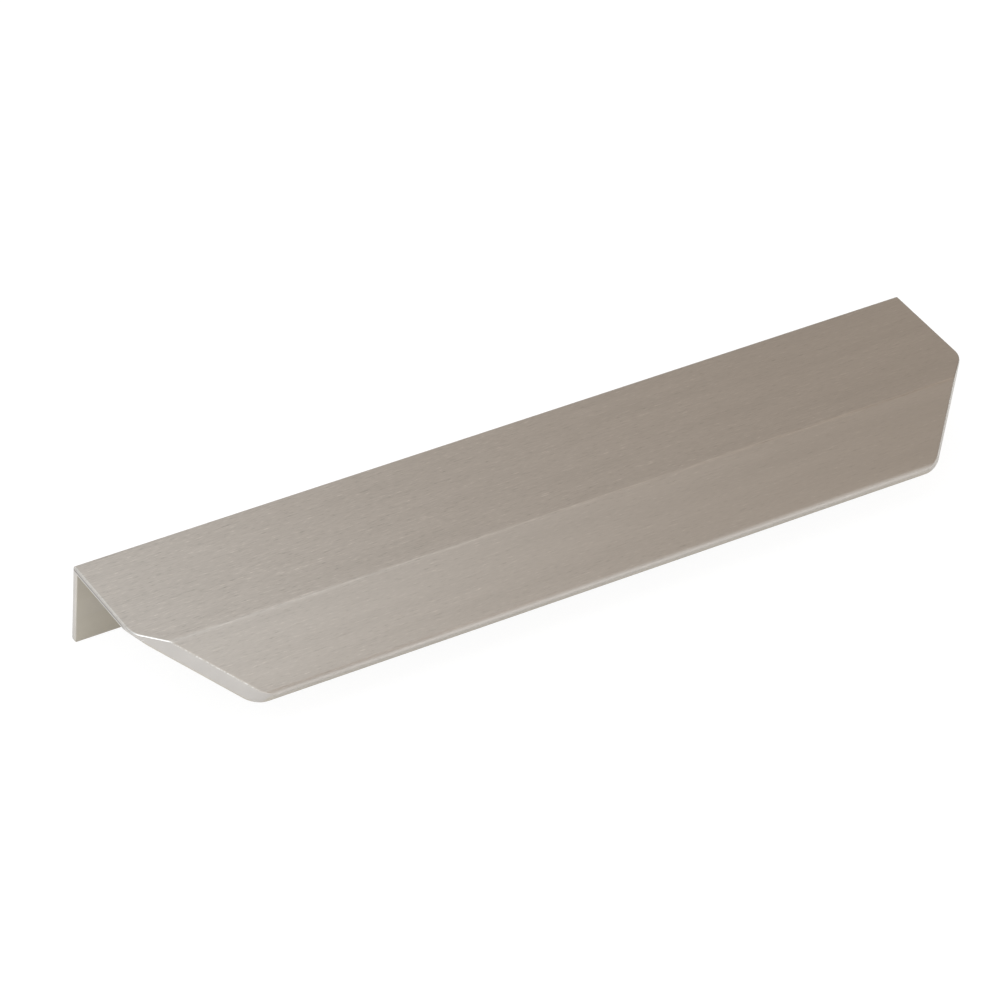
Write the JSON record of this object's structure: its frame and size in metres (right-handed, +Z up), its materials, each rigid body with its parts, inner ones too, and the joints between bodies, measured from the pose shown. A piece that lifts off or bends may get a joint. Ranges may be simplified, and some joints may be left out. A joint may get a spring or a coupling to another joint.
{
  "type": "profile handle",
  "caption": "Edge-mounted profile handle with a screw flange, a flat top plate and a sloping finger lip, with slanted rounded ends, for drawer and cabinet fronts.",
  "frame": {"origin": "midway between the two screw holes, on the flange's seat face that lies against the panel's back", "axes": "+X along the handle, +Y out of the flange's back, away from the panel, so the lip points to -Y, and +Z up as fitted"},
  "size_m": [0.2, 0.044, 0.019],
  "materials": {
    "brushed_metal": "fine brushed along the length, warm stainless-steel tone, satin"
  },
  "bodies": {
    "root": {"handle_profile": "brushed_metal"}
  },
  "joints": []
}
